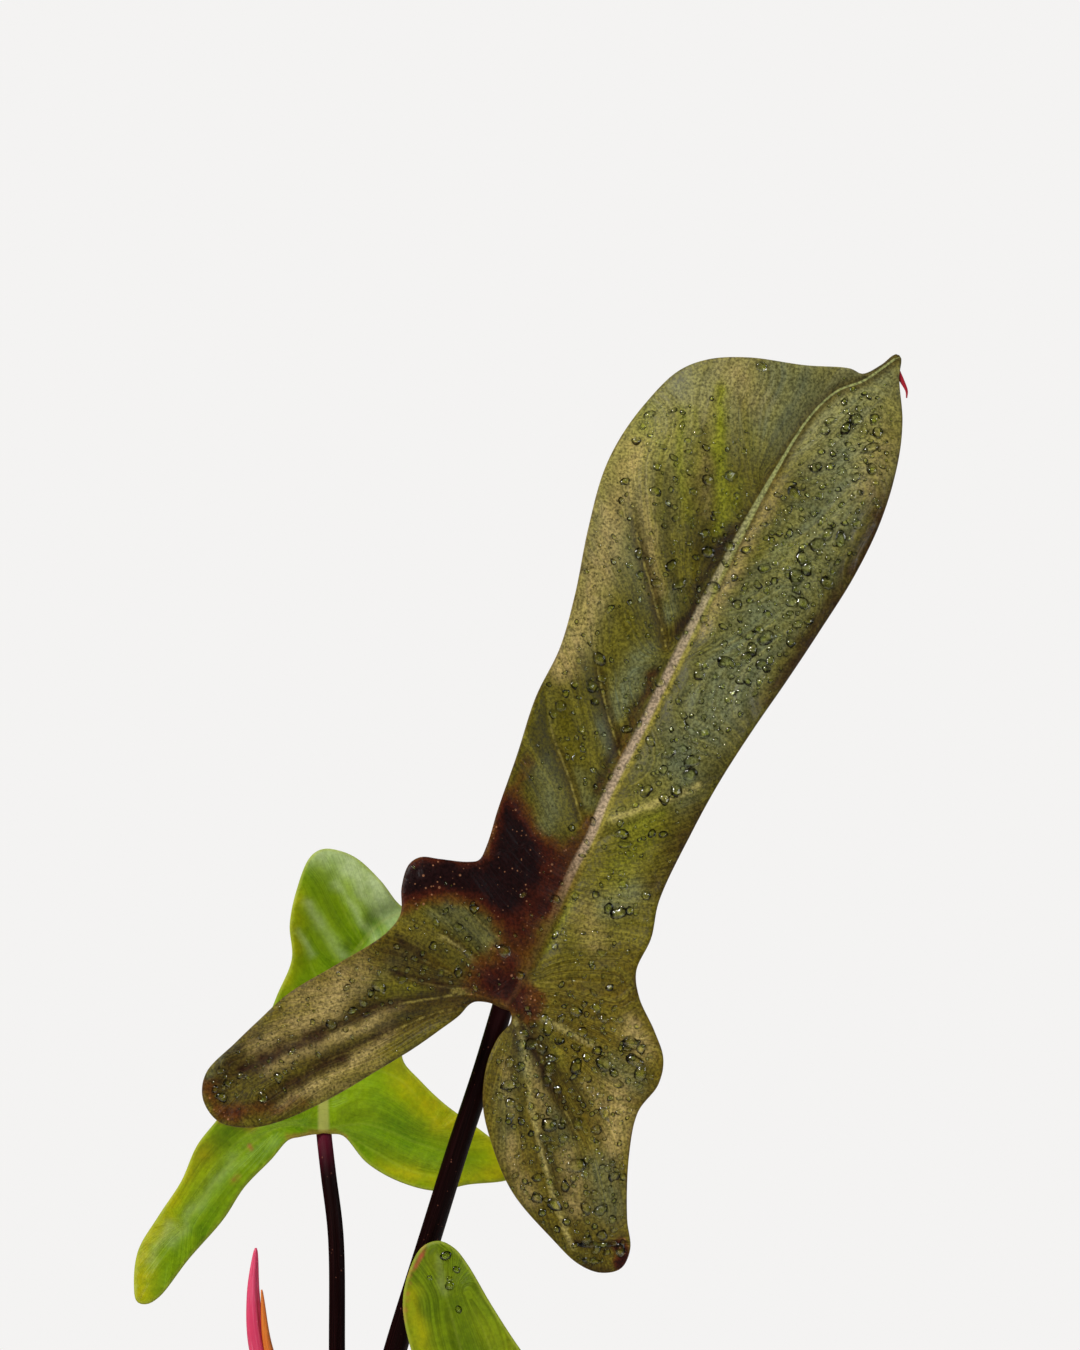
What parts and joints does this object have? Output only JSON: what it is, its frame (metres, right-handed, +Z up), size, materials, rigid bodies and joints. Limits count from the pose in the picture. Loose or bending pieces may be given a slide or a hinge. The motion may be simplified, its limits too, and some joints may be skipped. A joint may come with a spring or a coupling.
{
  "type": "potted florida bronze philodendron",
  "caption": "House plant with long-lobed olive-bronze and green leaves on dark stalks, a pink sheath with a rolled new leaf, and a ringed stem rooted in potting mix in a plain clay pot.",
  "frame": {"origin": "centre of the pot's flat foot, on the surface that it stands on", "axes": "+Z up; the upper faces of the leaves look towards -Y; +X is to the right as seen from there, the side that the large leaf leans to"},
  "size_m": [0.2001, 0.13, 0.4392],
  "materials": {
    "clay": "matte",
    "mix": "matte",
    "stem": "satin",
    "bronze_blade": "satin",
    "green_blade": "satin",
    "stalk": "satin",
    "pink_sheath": "satin",
    "new_leaf": "satin",
    "water": "gloss"
  },
  "bodies": {
    "root": {"pot": "clay", "potting_mix": "mix", "main_stem": "stem", "bronze_leaf_blade": "bronze_blade", "bronze_leaf_stalk": "stalk", "green_leaf_blade": "green_blade", "green_leaf_stalk": "stalk", "low_leaf_blade": "green_blade", "low_leaf_stalk": "stalk", "pink_sheath": "pink_sheath", "new_leaf_roll": "new_leaf"}
  },
  "joints": []
}
